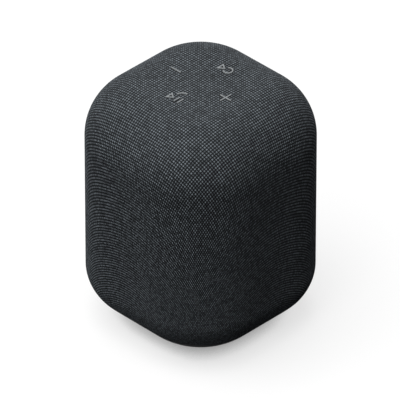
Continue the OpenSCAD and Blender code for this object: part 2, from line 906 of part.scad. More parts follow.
module antenna() {
  color([0.8, 0.6, 0.25]) translate([-12, -30, cab_high]) cube([24, 8, 0.6]);
}

fabric_cover();
hem_ring();
grille_cage();
top_cap();
base_cap();
foot_pad();
base_screws();
key_minus();
key_plus();
key_play();
key_pair();
stem_minus();
stem_plus();
stem_play();
stem_pair();
switch_housings();
control_board();
control_board_screws();
control_ribbon();
enclosure_front();
enclosure_rear();
enclosure_gasket();
enclosure_screws();
damping_foam();
driver_basket();
driver_top_plate();
driver_magnet();
driver_yoke();
driver_gasket();
driver_cone();
driver_dust_cap();
voice_coil();
driver_surround();
driver_spider();
driver_screws();
driver_lead();
radiator_left_frame();
radiator_left_cone();
radiator_left_surround();
radiator_right_frame();
radiator_right_cone();
radiator_right_surround();
radiator_screws();
lead_grommet();
battery_holder();
battery_cells();
battery_tabs();
battery_lead();
main_board();
board_chips();
board_capacitors();
board_coils();
rf_shield();
board_sockets();
usb_shell();
usb_tongue();
port_bezel();
light_pipe();
antenna();
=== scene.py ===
"""Looks of the cloth-covered portable speaker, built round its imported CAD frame."""
import json
import math

import bpy
import numpy as np
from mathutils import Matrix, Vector
from mathutils.geometry import delaunay_2d_cdt


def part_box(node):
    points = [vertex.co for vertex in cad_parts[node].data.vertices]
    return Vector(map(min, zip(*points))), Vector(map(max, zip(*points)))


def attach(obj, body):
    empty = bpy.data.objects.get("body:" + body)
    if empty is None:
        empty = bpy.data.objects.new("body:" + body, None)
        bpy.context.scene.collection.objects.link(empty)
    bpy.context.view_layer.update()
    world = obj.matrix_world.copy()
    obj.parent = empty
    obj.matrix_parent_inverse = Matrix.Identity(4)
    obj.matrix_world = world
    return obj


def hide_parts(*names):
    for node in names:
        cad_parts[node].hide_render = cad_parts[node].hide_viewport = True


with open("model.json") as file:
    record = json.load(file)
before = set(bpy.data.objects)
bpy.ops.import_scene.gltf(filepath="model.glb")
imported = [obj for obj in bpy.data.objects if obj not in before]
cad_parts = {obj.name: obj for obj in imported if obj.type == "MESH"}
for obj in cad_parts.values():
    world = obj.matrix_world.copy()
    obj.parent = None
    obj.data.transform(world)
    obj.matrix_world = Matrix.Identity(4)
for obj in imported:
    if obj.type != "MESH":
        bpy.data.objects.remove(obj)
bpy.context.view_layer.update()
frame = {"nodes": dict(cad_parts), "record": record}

MM = 0.001

# ---- Body sizes, read from the frame or repeated from the design, in metres ----

cover_low, cover_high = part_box("fabric_cover")
HALF = cover_high.x
TOP = cover_high.z
HEM = cover_low.z
# Corner radius of the walls, and half the side of the square whose corners the radii turn round
CORNER_R = 35.2 * MM
CORE = HALF - CORNER_R
# Width and height of the quarter ellipses above and below the walls
TOP_H, TOP_V = 27 * MM, 29 * MM
LOW_H, LOW_V = 41 * MM, 28 * MM
SHOULDER = TOP - TOP_V
# Corner radius where the flat top ends
FLAT_R = CORNER_R - TOP_H
CLOTH = 0.9 * MM
# Distance of each key from the axis, and the width of the lines that its mark is drawn with
KEY_REACH = 16.5 * MM
MARK_LINE = 0.7 * MM
# Free space round the marks and round the port's bezel
MARK_GAP = 0.3 * MM
PORT_GAP = 0.2 * MM

# ---- Cloth sizes ----

# Spacing that the threads are counted with, and their spacing in the cut cloth before it is stretched
THREAD_PITCH = 1.36 * MM
RELAXED_PITCH = 1.25 * MM
# Height of a thread crossing, and depth of the hole between four crossings
CROWN = 0.12 * MM
PIT = 0.24 * MM
# Flat cloth per length of body on the flat top
TOP_EASE = 0.93
# Threads from the middle over which the yarn's contrast grows from the top's to the sides'
SIDE_THREADS = (32, 56)
# Threads left free of crossings along the hem and round the openings
HEM_CLEAR = 0.35
OPENING_CLEAR = 0.12
# Columns round the hem, steps in the hem's roll, and threads between points of the inner face
COLUMNS = 160
ROLL_STEPS = 6
INNER_STEP = 3


# ---- Body surface: a rounded square whose corner radius changes with height ----

# Where the hem lies on the profile
HEM_T = 3.0


def profile(t, sunk=0.0):
    """Corner radius and height at t: 0 to 1 the top rounding, 1 to 2 the wall, 2 to 3 down to the hem."""
    hem_z = HEM + CLOTH / 2
    last = math.asin((LOW_V - hem_z) / (LOW_V - sunk))
    a = np.clip(1 - t, 0, 1) * math.pi / 2
    b = np.clip(t - 2, 0, 1) * last
    wall = np.clip(t - 1, 0, 1)
    r = CORNER_R - sunk - (TOP_H - sunk) * (1 - np.cos(a)) - (LOW_H - sunk) * (1 - np.cos(b))
    z = SHOULDER + (TOP_V - sunk) * np.sin(a) + (LOW_V - SHOULDER) * wall - (LOW_V - sunk) * np.sin(b)
    return r, z


def folded(angle):
    """A polar direction brought into the first eighth of a turn, which the rounded square repeats."""
    return np.abs(np.mod(angle + math.pi / 4, math.pi / 2) - math.pi / 4)


def reach(angle, r):
    """Distance from the axis to the rounded square of corner radius r, in a polar direction."""
    a = folded(angle)
    on_side = np.tan(a) * (CORE + r) <= CORE
    along = CORE * (np.cos(a) + np.sin(a))
    corner = along + np.sqrt(np.maximum(along**2 - 2 * CORE**2 + r**2, 0))
    return np.where(on_side, (CORE + r) / np.cos(a), corner)


def body_points(angle, t, sunk=0.0):
    """Points on the body, or sunk below it, with their outward normals."""
    r, z = profile(t, sunk)
    d = reach(angle, r)
    x, y = d * np.cos(angle), d * np.sin(angle)
    outward = np.stack([x - np.clip(x, -CORE, CORE), y - np.clip(y, -CORE, CORE)], axis=-1)
    outward /= np.linalg.norm(outward, axis=-1, keepdims=True)
    step = 1e-4
    r1, z1 = profile(np.minimum(t + step, HEM_T), sunk)
    r0, z0 = profile(np.maximum(t - step, 0), sunk)
    slope = np.stack([z0 - z1, r1 - r0], axis=-1)
    slope /= np.linalg.norm(slope, axis=-1, keepdims=True)
    normal = np.concatenate([outward * slope[..., :1], slope[..., 1:]], axis=-1)
    return np.stack([x, y, z], axis=-1), normal


# ---- How the flat cloth lies on the body ----

TABLE_T = np.concatenate([np.linspace(0, 1, 160), np.linspace(1, 2, 60)[1:], np.linspace(2, HEM_T, 60)[1:]])
TABLE_ANGLE = np.linspace(0, math.pi / 4, 61)


def meridian_table():
    """Distance over the surface from the top's centre, for every table angle and t."""
    rows = []
    for angle in TABLE_ANGLE:
        r, z = profile(TABLE_T)
        d = reach(np.full_like(r, angle), r)
        steps = np.hypot(np.diff(d), np.diff(z))
        rows.append(d[0] + np.concatenate([[0], np.cumsum(steps)]))
    return np.array(rows)


MERIDIANS = meridian_table()


def between_meridians(angle, asked, look_up):
    """What look_up finds on the two meridians either side of each angle, mixed by how near they are."""
    place = folded(angle) / TABLE_ANGLE[1]
    row = np.minimum(place.astype(int), len(TABLE_ANGLE) - 2)
    part = place - row
    out = np.empty_like(angle)
    for k in np.unique(row):
        here = row == k
        low = look_up(asked[here], MERIDIANS[k])
        high = look_up(asked[here], MERIDIANS[k + 1])
        out[here] = low + (high - low) * part[here]
    return out


def surface_distance(angle, t):
    """Distance over the surface from the top's centre to the point at t."""
    return between_meridians(angle, t, lambda asked, meridian: np.interp(asked, TABLE_T, meridian))


def surface_place(angle, distance):
    """The t that lies at a distance over the surface from the top's centre."""
    return between_meridians(angle, distance, lambda asked, meridian: np.interp(asked, meridian, TABLE_T))


def hem_distance(angle):
    """Distance over the surface from the top's centre to the hem."""
    return surface_distance(angle, np.full_like(angle, HEM_T))


def smooth(x, low, high):
    """0 below low, 1 above high, and an even curve between."""
    u = np.clip((x - low) / (high - low), 0, 1)
    return u * u * (3 - 2 * u)


def ease(distance):
    """Flat cloth per length of body past the flat top: tight over the shoulder, easier towards the hem."""
    return 1.05 - 0.21 * smooth(distance, 20 * MM, 48 * MM) + 0.16 * smooth(distance, 70 * MM, 105 * MM)


# Lengths over the body past the flat top, and the flat cloth that reaches over each
WORN = np.linspace(0, 0.16, 641)
LAID = np.concatenate([[0], np.cumsum(ease((WORN[1:] + WORN[:-1]) / 2) * np.diff(WORN))])


def flat_reach(angle, distance):
    """Distance from the middle of the flat cloth to the thread that lies at a distance over the body."""
    rim = reach(angle, np.full_like(angle, FLAT_R))
    return TOP_EASE * np.minimum(distance, rim) + np.interp(np.maximum(distance - rim, 0), WORN, LAID)


def worn_reach(angle, flat):
    """Distance over the body at which a thread of the flat cloth lies: the opposite of flat_reach."""
    rim = reach(angle, np.full_like(angle, FLAT_R))
    past = np.interp(np.maximum(flat - TOP_EASE * rim, 0), LAID, WORN)
    return np.where(flat < TOP_EASE * rim, flat / TOP_EASE, rim + past)


def hem_reach(angle):
    """Threads from the middle of the flat cloth to the hem."""
    return flat_reach(angle, hem_distance(angle)) / THREAD_PITCH


def threads_at(angle, distance):
    """Thread counts along both weaving directions."""
    flat = flat_reach(angle, distance) / THREAD_PITCH
    return np.stack([flat * np.cos(angle), flat * np.sin(angle)], axis=-1)


def lay_threads(threads, lift):
    """Where points of the flat cloth, counted in threads, lie on the body, lifted along its normal."""
    angle = np.arctan2(threads[:, 1], threads[:, 0])
    distance = worn_reach(angle, np.hypot(threads[:, 0], threads[:, 1]) * THREAD_PITCH)
    rim = reach(angle, np.full_like(angle, FLAT_R))
    on_top = distance <= rim
    t = surface_place(angle, np.maximum(distance, rim))
    points, normals = body_points(angle, t)
    flat = np.stack([distance * np.cos(angle), distance * np.sin(angle), np.full_like(angle, TOP)], axis=-1)
    points[on_top] = flat[on_top]
    normals[on_top] = (0, 0, 1)
    return points + normals * lift[:, None]


# ---- Key marks as flat outlines grown by g ----

def arc_points(cx, cy, r, a0, a1, steps):
    """Points along an arc, both ends included."""
    turns = [a0 + (a1 - a0) * i / steps for i in range(steps + 1)]
    return [(cx + r * math.cos(a), cy + r * math.sin(a)) for a in turns]


def bar_outline(cx, cy, w, h, g):
    """Rectangle of a size w by h."""
    x, y = w / 2 + g, h / 2 + g
    return [(cx - x, cy - y), (cx + x, cy - y), (cx + x, cy + y), (cx - x, cy + y)]


def plus_outline(size, line, g):
    """Two crossed lines, as one outline."""
    a, b = line / 2 + g, size / 2 + g
    arm = [(b, -a), (b, a), (a, a)]
    return [(x * math.cos(q) - y * math.sin(q), x * math.sin(q) + y * math.cos(q))
            for q in (0, math.pi / 2, math.pi, 3 * math.pi / 2) for x, y in arm]


def triangle_outline(x0, cy, w, h, g):
    """Triangle with its base at x0 and its tip at x0 + w."""
    inner = h * w / (h + 2 * math.hypot(w, h / 2))
    k = (inner + g) / inner
    corners = [(-inner, h / 2), (-inner, -h / 2), (w - inner, 0)]
    return [(x0 + inner + x * k, cy + y * k) for x, y in corners]


def band_outline(cx, cy, r, line, a0, a1, g):
    """Part of a ring of outer radius r, from angle a0 to a1."""
    spread = g / (r - line / 2)
    outer = arc_points(cx, cy, r + g, a0 - spread, a1 + spread, 24)
    inner = arc_points(cx, cy, r - line - g, a1 + spread, a0 - spread, 20)
    return outer + inner


def dense_outline(outline, step):
    """Points close together along a closed outline."""
    found = []
    for a, b in zip(outline, np.roll(outline, -1, axis=0)):
        n = max(1, int(np.hypot(*(b - a)) / step))
        found.append(a + (b - a) * np.arange(n)[:, None] / n)
    return np.concatenate(found)


def port_opening(g):
    """Outline of the opening for the port's bezel, grown by g, in threads."""
    low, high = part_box("port_bezel")
    middle = (low.z + high.z) / 2
    r = (high.z - low.z) / 2 + g
    straight = (high.x - low.x) / 2 + g - r
    quarter = math.pi / 2
    ends = arc_points(straight, middle, r, -quarter, quarter, 12)
    ends += arc_points(-straight, middle, r, quarter, 3 * quarter, 12)
    x, z = dense_outline(np.array(ends[::-1]), 1.2 * MM).T
    t = np.interp(-z, -profile(TABLE_T)[1], TABLE_T)
    angle = np.arctan2(CORE + profile(t)[0], x)
    return threads_at(angle, surface_distance(angle, t))


def cloth_openings(g):
    """Every opening in the cloth, in threads: round the marks, then round the port."""
    tri_x, tri_w, tri_h = -3.9 * MM, 3.5 * MM, 5 * MM
    play_y, pair_y = -0.7 * MM, 0.35 * MM
    bar_y, bar_h = play_y + 0.2 * MM, 4.2 * MM
    turn = math.pi / 2
    shapes = [
        (-KEY_REACH, 0, bar_outline(0, 0, 6.4 * MM, MARK_LINE, g)),
        (KEY_REACH, 0, plus_outline(7.1 * MM, MARK_LINE, g)),
        (0, -KEY_REACH, triangle_outline(tri_x, play_y, tri_w, tri_h, g)),
        (0, -KEY_REACH, bar_outline(1.25 * MM, bar_y, MARK_LINE, bar_h, g)),
        (0, -KEY_REACH, bar_outline(3.45 * MM, bar_y, MARK_LINE, bar_h, g)),
        (0, -KEY_REACH, band_outline(1.9 * MM, 2.5 * MM, 3.8 * MM, MARK_LINE, turn, 2 * turn, g)),
        (0, KEY_REACH, triangle_outline(tri_x, pair_y, tri_w, tri_h, g)),
        (0, KEY_REACH,
         band_outline(1.3 * MM, pair_y + 0.1 * MM, 2.6 * MM, MARK_LINE, -1.5 * turn, 1.5 * turn, g)),
    ]
    marks = [np.array([(px + x, py + y) for px, py in outline]) for x, y, outline in shapes]
    return [m * TOP_EASE / THREAD_PITCH for m in marks] + [port_opening(PORT_GAP)]


# ---- Flat regions ----

def inside(points, outline):
    """Which flat points lie inside a closed outline."""
    found = np.zeros(len(points), bool)
    x, y = points[:, 0], points[:, 1]
    before = np.roll(outline, 1, axis=0)
    for (x0, y0), (x1, y1) in zip(outline, before):
        if y0 == y1:
            continue
        crossed = ((y0 > y) != (y1 > y)) & (x < (x1 - x0) * (y - y0) / (y1 - y0) + x0)
        found ^= crossed
    return found


def loop_edges(loops, start):
    """Edges round closed loops whose points are numbered one after another from start."""
    edges = []
    for loop in loops:
        edges += [(start + i, start + (i + 1) % len(loop)) for i in range(len(loop))]
        start += len(loop)
    return edges


def fill_between(points, edges):
    """Triangles over flat points that keep every edge, and the triangles' centres."""
    _, _, faces, origin, _, _ = delaunay_2d_cdt([Vector(p) for p in points], edges, [], 0, 1e-9)
    tris = np.array([[origin[i][0] for i in f] for f in faces])
    return tris, points[tris].mean(axis=1)


# ---- Woven cover ----

class Patchwork:
    """Collects vertices with their thread counts, and faces, for one mesh."""

    def __init__(self):
        self.points, self.threads, self.faces, self.count = [], [], [], 0

    def add(self, points, threads):
        """Adds vertices and returns their numbers."""
        start = self.count
        self.points.append(points)
        self.threads.append(threads)
        self.count += len(points)
        return np.arange(start, self.count)

    def skin(self, upper, lower):
        """Joins two closed rows of the same length, facing out where both turn left round the axis."""
        for k in range(len(upper)):
            n = (k + 1) % len(upper)
            self.faces.append((upper[k], lower[k], lower[n], upper[n]))

    def mesh(self, name):
        """The finished mesh, with the thread counts as its map."""
        made = bpy.data.meshes.new(name)
        made.from_pydata(np.concatenate(self.points).tolist(), [], self.faces)
        layer = made.uv_layers.new(name="threads")
        corner = np.empty(len(made.loops), np.int32)
        made.loops.foreach_get("vertex_index", corner)
        layer.data.foreach_set("uv", np.concatenate(self.threads)[corner].astype(np.float32).ravel())
        made.polygons.foreach_set("use_smooth", [True] * len(made.polygons))
        return made


def woven_cells(limit, openings):
    """Lower corners of the thread crossings' cells that lie clear of the hem and of every opening."""
    n = int(limit) + 2
    i, j = np.meshgrid(np.arange(-n, n), np.arange(-n, n), indexing="ij")
    cells = np.stack([i.ravel(), j.ravel()], axis=-1)
    keep = np.ones(len(cells), bool)
    for dx in (0, 1):
        for dy in (0, 1):
            corner = cells + (dx, dy)
            edge = hem_reach(np.arctan2(corner[:, 1], corner[:, 0]))
            keep &= np.hypot(corner[:, 0], corner[:, 1]) < edge - HEM_CLEAR
    for outline in openings:
        keep &= ~inside(cells + 0.5, outline)
        rim = dense_outline(outline, 0.1)
        for dx in (-OPENING_CLEAR, OPENING_CLEAR):
            for dy in (-OPENING_CLEAR, OPENING_CLEAR):
                touched = set(map(tuple, np.floor(rim + (dx, dy)).astype(int)))
                keep &= np.array([tuple(c) not in touched for c in cells.tolist()])
    return cells[keep]


def cell_boundary(cells):
    """Edges between neighbouring crossings, all round a set of cells."""
    filled = set(map(tuple, cells.tolist()))
    edges = []
    for x, y in filled:
        if (x, y - 1) not in filled:
            edges.append(((x, y), (x + 1, y)))
        if (x + 1, y) not in filled:
            edges.append(((x + 1, y), (x + 1, y + 1)))
        if (x, y + 1) not in filled:
            edges.append(((x + 1, y + 1), (x, y + 1)))
        if (x - 1, y) not in filled:
            edges.append(((x, y + 1), (x, y)))
    return edges


def add_crossings(cover, cells):
    """Four triangles per cell, from the crowns of its crossings down to the pit between them."""
    corners = sorted({(x + dx, y + dy) for x, y in cells.tolist() for dx in (0, 1) for dy in (0, 1)})
    threads = np.array(corners, float)
    crown = dict(zip(corners, cover.add(lay_threads(threads, np.full(len(corners), CROWN)), threads)))
    threads = cells + 0.5
    pits = cover.add(lay_threads(threads, np.full(len(cells), -PIT)), threads)
    for (x, y), pit in zip(cells.tolist(), pits):
        ring = [crown[x, y], crown[x + 1, y], crown[x + 1, y + 1], crown[x, y + 1]]
        cover.faces += [(ring[k - 1], ring[k], pit) for k in range(4)]
    return crown


def add_border(cover, cells, crown, hem, hem_threads, rims, openings):
    """Cloth between the outermost crossings, the hem and the openings."""
    edges = cell_boundary(cells)
    border = sorted({p for e in edges for p in e})
    spot = {p: n for n, p in enumerate(border)}
    flat = np.concatenate([np.array(border, float), hem_threads] + openings)
    vertex = np.concatenate([np.array([crown[p] for p in border]), hem] + rims)
    bounds = [(spot[a], spot[b]) for a, b in edges] + loop_edges([hem_threads] + openings, len(border))
    tris, centres = fill_between(flat, bounds)
    filled = set(map(tuple, cells.tolist()))
    keep = inside(centres, hem_threads)
    keep &= np.array([tuple(c) not in filled for c in np.floor(centres).astype(int).tolist()])
    for outline in openings:
        keep &= ~inside(centres, outline)
    cover.faces += [tuple(t) for t in vertex[tris[keep]].tolist()]


def add_hem_roll(cover, column, hem, hem_points):
    """The hem turned under in a half round, ending on the cloth's inner face."""
    outward = hem_points - body_points(column, np.full(COLUMNS, HEM_T), CLOTH)[0]
    roll = CLOTH / 2
    row = hem
    for k in range(1, ROLL_STEPS + 1):
        turn = math.pi * k / ROLL_STEPS
        points = hem_points - outward * (1 - math.cos(turn)) / 2
        points[:, 2] -= roll * math.sin(turn)
        lower = cover.add(points, threads_at(column, hem_distance(column) + roll * turn))
        cover.skin(row, lower)
        row = lower
    return row


def add_inner_face(cover, inner_hem, hem_threads, inner_rims, openings):
    """The plain inner face, on a coarse grid of threads."""
    n = int(np.hypot(*hem_threads.T).max() / INNER_STEP) + 1
    i, j = np.meshgrid(np.arange(-n, n + 1), np.arange(-n, n + 1), indexing="ij")
    grid = np.stack([i.ravel(), j.ravel()], axis=-1) * float(INNER_STEP)
    keep = inside(grid, hem_threads * (1 - 1 / n))
    for outline in openings:
        keep &= ~inside(grid, outline)
    grid = grid[keep]
    spots = cover.add(lay_threads(grid, np.full(len(grid), -CLOTH)), grid)
    flat = np.concatenate([grid, hem_threads] + openings)
    vertex = np.concatenate([spots, inner_hem] + inner_rims)
    tris, centres = fill_between(flat, loop_edges([hem_threads] + openings, len(grid)))
    keep = inside(centres, hem_threads)
    for outline in openings:
        keep &= ~inside(centres, outline)
    cover.faces += [tuple(reversed(t)) for t in vertex[tris[keep]].tolist()]


def cover_mesh():
    """The woven cover: crossings in relief, a rolled hem, a plain inner face, walls at the openings."""
    cover = Patchwork()
    openings = cloth_openings(MARK_GAP)
    column = 2 * math.pi * np.arange(COLUMNS) / COLUMNS
    hem_points, _ = body_points(column, np.full(COLUMNS, HEM_T))
    hem_threads = threads_at(column, hem_distance(column))
    cells = woven_cells(np.hypot(*hem_threads.T).max(), openings)

    crown = add_crossings(cover, cells)
    hem = cover.add(hem_points, hem_threads)
    rims = [cover.add(lay_threads(o, np.zeros(len(o))), o) for o in openings]
    inner_rims = [cover.add(lay_threads(o, np.full(len(o), -CLOTH)), o) for o in openings]
    add_border(cover, cells, crown, hem, hem_threads, rims, openings)
    inner_hem = add_hem_roll(cover, column, hem, hem_points)
    add_inner_face(cover, inner_hem, hem_threads, inner_rims, openings)
    for upper, lower in zip(rims, inner_rims):
        cover.skin(lower, upper)
    return cover.mesh("cloth_cover")


# ---- Materials ----

class Shader:
    """A Principled material and short ways of adding nodes to it."""

    def __init__(self, name, **constants):
        self.material = bpy.data.materials.new(name)
        self.material.use_nodes = True
        self.tree = self.material.node_tree
        self.surface = self.tree.nodes["Principled BSDF"]
        for key, value in constants.items():
            self.surface.inputs[key.replace("_", " ")].default_value = value
        self.place = self.node("ShaderNodeTexCoord").outputs["Object"]

    def node(self, kind, **settings):
        made = self.tree.nodes.new(kind)
        for key, value in settings.items():
            setattr(made, key, value)
        return made

    def feed(self, socket, value):
        """Links an output to a socket, or sets the socket to a constant."""
        if isinstance(value, bpy.types.NodeSocket):
            self.tree.links.new(value, socket)
        else:
            socket.default_value = value

    def math(self, operation, a, b=0.0, c=0.0, clamp=False):
        made = self.node("ShaderNodeMath", operation=operation, use_clamp=clamp)
        for socket, value in zip(made.inputs, (a, b, c)):
            self.feed(socket, value)
        return made.outputs[0]

    def stretched(self, scale):
        """Object coordinates, in metres, multiplied along each axis."""
        made = self.node("ShaderNodeVectorMath", operation="MULTIPLY")
        self.feed(made.inputs[0], self.place)
        made.inputs[1].default_value = scale
        return made.outputs[0]

    def noise(self, scale, detail=3.0, roughness=0.55, stretch=(1, 1, 1)):
        made = self.node("ShaderNodeTexNoise")
        self.feed(made.inputs["Vector"], self.stretched(stretch))
        made.inputs["Scale"].default_value = scale
        made.inputs["Detail"].default_value = detail
        made.inputs["Roughness"].default_value = roughness
        return made.outputs["Fac"]

    def cells(self, scale, feature="F1", metric="EUCLIDEAN"):
        made = self.node("ShaderNodeTexVoronoi", feature=feature, distance=metric)
        self.feed(made.inputs["Vector"], self.place)
        made.inputs["Scale"].default_value = scale
        return made.outputs["Distance"]

    def bands(self, scale, direction):
        made = self.node("ShaderNodeTexWave", wave_type="BANDS", bands_direction=direction)
        self.feed(made.inputs["Vector"], self.place)
        made.inputs["Scale"].default_value = scale
        return made.outputs["Fac"]

    def between(self, value, low, high, to_low=0.0, to_high=1.0):
        """The value moved from one range to another, and held inside it."""
        made = self.node("ShaderNodeMapRange")
        for socket, number in zip(made.inputs, (value, low, high, to_low, to_high)):
            self.feed(socket, number)
        return made.outputs[0]

    def mix(self, share, a, b):
        """A colour between two, through the colour sockets 6, 7 and 2 of the mix node."""
        made = self.node("ShaderNodeMix", data_type="RGBA")
        self.feed(made.inputs["Factor"], share)
        for number, value in ((6, a), (7, b)):
            self.feed(made.inputs[number], value if isinstance(value, bpy.types.NodeSocket) else (*value, 1))
        return made.outputs[2]

    def colour(self, value):
        self.feed(self.surface.inputs["Base Color"], value)

    def rough(self, value):
        self.feed(self.surface.inputs["Roughness"], value)

    def bump(self, height, depth, strength=1.0):
        """Adds relief of a depth in metres over any relief already there."""
        made = self.node("ShaderNodeBump")
        made.inputs["Distance"].default_value = depth
        made.inputs["Strength"].default_value = strength
        self.feed(made.inputs["Height"], height)
        before = self.surface.inputs["Normal"].links
        if before:
            self.feed(made.inputs["Normal"], before[0].from_socket)
        self.feed(self.surface.inputs["Normal"], made.outputs[0])


def woven_cloth():
    """Plain weave that follows the threads counted in the cover's own map."""
    s = Shader("woven_cloth", Sheen_Weight=0.035, Sheen_Roughness=0.3, Sheen_Tint=(0.85, 0.82, 0.95, 1),
               Specular_IOR_Level=0.12)
    counted = s.node("ShaderNodeUVMap", uv_map="threads").outputs[0]
    split = s.node("ShaderNodeSeparateXYZ")
    s.feed(split.inputs[0], counted)
    u, v = split.outputs[0], split.outputs[1]
    # Each crossing shows one thread; along and across run from its middle, and the lobe is its rounded top
    cell_u, cell_v = (s.math("FLOOR", s.math("ADD", x, 0.5)) for x in (u, v))
    off_u, off_v = s.math("SUBTRACT", u, cell_u), s.math("SUBTRACT", v, cell_v)
    over = s.math("FLOORED_MODULO", s.math("ADD", cell_u, cell_v), 2.0)
    under = s.math("SUBTRACT", 1.0, over)
    along = s.math("ADD", s.math("MULTIPLY", off_v, over), s.math("MULTIPLY", off_u, under))
    across = s.math("ADD", s.math("MULTIPLY", off_u, over), s.math("MULTIPLY", off_v, under))
    side = s.math("SUBTRACT", 1.0, s.math("MULTIPLY", s.math("MULTIPLY", across, across), 4.6), clamp=True)
    ends = s.math("SUBTRACT", 1.0, s.math("MULTIPLY", s.math("MULTIPLY", along, along), 2.9), clamp=True)
    lobe = s.math("MULTIPLY", side, ends)

    # Every crossing has its own lightness, and its fibres twist across the thread
    at = s.node("ShaderNodeCombineXYZ")
    s.feed(at.inputs[0], cell_u)
    s.feed(at.inputs[1], cell_v)
    chance = s.node("ShaderNodeTexWhiteNoise", noise_dimensions="2D")
    s.feed(chance.inputs["Vector"], at.outputs[0])
    twist = s.math("ADD", s.math("MULTIPLY", across, 44.0), s.math("MULTIPLY", along, 17.0))
    fibres = s.math("ADD", s.math("MULTIPLY", s.math("SINE", twist), 0.5), 0.5)
    fuzz = s.noise(2600, 4, 0.65)
    yarn = s.math("ADD", s.math("MULTIPLY", fibres, 0.35), s.math("MULTIPLY", fuzz, 0.65))

    # dark is painted shade in the gaps between the crossings; light is the yarn, and the mix below fades it
    # into dark towards each thread's edges, which paints the threads' rounding as shade
    dark = s.mix(yarn, (0.0020, 0.0022, 0.0026), (0.0050, 0.0055, 0.0062))
    light = s.mix(yarn, (0.154, 0.178, 0.197), (0.307, 0.350, 0.384))
    # Towards the sides the crossings' lightness spreads wider, and the painted shade round each crown covers
    # more of the cell
    from_middle = s.node("ShaderNodeVectorMath", operation="LENGTH")
    s.feed(from_middle.inputs[0], counted)
    sides = s.between(from_middle.outputs["Value"], *SIDE_THREADS)
    shade = s.between(chance.outputs["Value"], 0, 1, 0.25, s.between(sides, 0, 1, 0.55, 0.90))
    drift = s.between(s.noise(38, 2, 0.5), 0.3, 0.7, 0.92, 1.08)
    sharp = s.math("POWER", lobe, s.between(sides, 0, 1, 2.4, 3.2))
    raised = s.math("MULTIPLY", sharp, s.math("MULTIPLY", shade, drift), clamp=True)
    s.colour(s.mix(raised, dark, light))
    s.rough(s.between(yarn, 0.2, 0.8, 0.78, 0.95))
    s.bump(lobe, 0.22 * MM, 0.9)
    s.bump(yarn, 0.05 * MM, 0.8)
    return s.material


def moulded(name, low, high, rough, grain, depth, **constants):
    """Moulded plastic with a spark-eroded grain and slow drifts of tone and gloss."""
    s = Shader(name, **constants)
    fine = s.cells(grain, "SMOOTH_F1")
    slow = s.noise(45, 3, 0.5)
    speck = s.noise(grain * 0.6, 4, 0.6)
    tone = s.math("ADD", s.math("MULTIPLY", slow, 0.5), s.math("MULTIPLY", speck, 0.5))
    s.colour(s.mix(tone, low, high))
    s.rough(s.between(slow, 0.3, 0.7, rough - 0.06, rough + 0.08))
    s.bump(fine, depth)
    return s.material


def rubber(name, low, high, rough, grain, depth):
    """Soft rubber: fine pits and a faint bloom."""
    s = Shader(name, Specular_IOR_Level=0.35, Sheen_Weight=0.08, Sheen_Roughness=0.5)
    bloom = s.noise(60, 5, 0.65)
    pits = s.cells(grain)
    s.colour(s.mix(s.between(bloom, 0.35, 0.7), low, high))
    s.rough(s.between(bloom, 0.3, 0.7, rough - 0.1, rough + 0.1))
    s.bump(pits, depth)
    return s.material


def metal(name, low, high, rough, stretch, brush, depth, **constants):
    """Metal with long brushed or rolled streaks and faint smudges."""
    s = Shader(name, Metallic=1.0, **constants)
    streaks = s.noise(brush, 5, 0.65, stretch)
    smudge = s.noise(90, 4, 0.6)
    tone = s.math("ADD", s.math("MULTIPLY", streaks, 0.6), s.math("MULTIPLY", smudge, 0.4))
    s.colour(s.mix(tone, low, high))
    s.rough(s.math("ADD", s.between(streaks, 0.3, 0.7, rough - 0.08, rough + 0.08),
                   s.between(smudge, 0.4, 0.7, 0.0, 0.08)))
    s.bump(streaks, depth)
    return s.material


def circuit_board():
    """Solder mask over square-turned tracks, with plated pads."""
    s = Shader("circuit_board", Coat_Weight=0.35, Coat_Roughness=0.15)
    tracks = s.cells(420, "DISTANCE_TO_EDGE", metric="CHEBYCHEV")
    track = s.between(tracks, 0.06, 0.10, 1, 0)
    pads = s.cells(260)
    pad = s.between(pads, 0.10, 0.14, 1, 0)
    mask = s.mix(s.noise(80, 3), (0.004, 0.035, 0.016), (0.008, 0.055, 0.024))
    lines = s.mix(track, mask, (0.012, 0.085, 0.038))
    s.colour(s.mix(pad, lines, (0.55, 0.40, 0.16)))
    s.feed(s.surface.inputs["Metallic"], pad)
    s.rough(s.between(pad, 0, 1, 0.42, 0.3))
    s.bump(s.math("ADD", track, s.math("MULTIPLY", pad, 1.5)), 0.03 * MM)
    return s.material


def ribbon_film():
    """Amber film over copper tracks that run along it."""
    s = Shader("ribbon_film", Coat_Weight=0.5, Coat_Roughness=0.2)
    tracks = s.between(s.bands(520, "X"), 0.35, 0.55)
    s.colour(s.mix(tracks, (0.26, 0.10, 0.015), (0.50, 0.24, 0.05)))
    s.rough(s.between(s.noise(200, 3), 0.3, 0.7, 0.28, 0.42))
    s.bump(tracks, 0.03 * MM)
    return s.material


def foam_rubber():
    """Open cells of sealing foam."""
    s = Shader("foam_rubber")
    walls = s.cells(1500, "DISTANCE_TO_EDGE")
    s.colour(s.mix(s.between(walls, 0.02, 0.25, 1, 0), (0.006, 0.006, 0.006), (0.05, 0.05, 0.05)))
    s.rough(s.between(s.noise(500, 3), 0.3, 0.7, 0.85, 0.98))
    s.bump(walls, 0.2 * MM)
    return s.material


def felt_wadding():
    """Damping felt: matted fibres lying every way."""
    s = Shader("felt_wadding", Sheen_Weight=0.3, Sheen_Roughness=0.6)
    one = s.noise(900, 6, 0.75, (6, 1, 1))
    other = s.noise(900, 6, 0.75, (1, 1, 6))
    fibres = s.math("MAXIMUM", one, other)
    s.colour(s.mix(s.between(fibres, 0.45, 0.75), (0.02, 0.02, 0.022), (0.13, 0.13, 0.14)))
    s.rough(s.between(fibres, 0.4, 0.8, 0.98, 0.85))
    s.bump(fibres, 0.3 * MM)
    return s.material


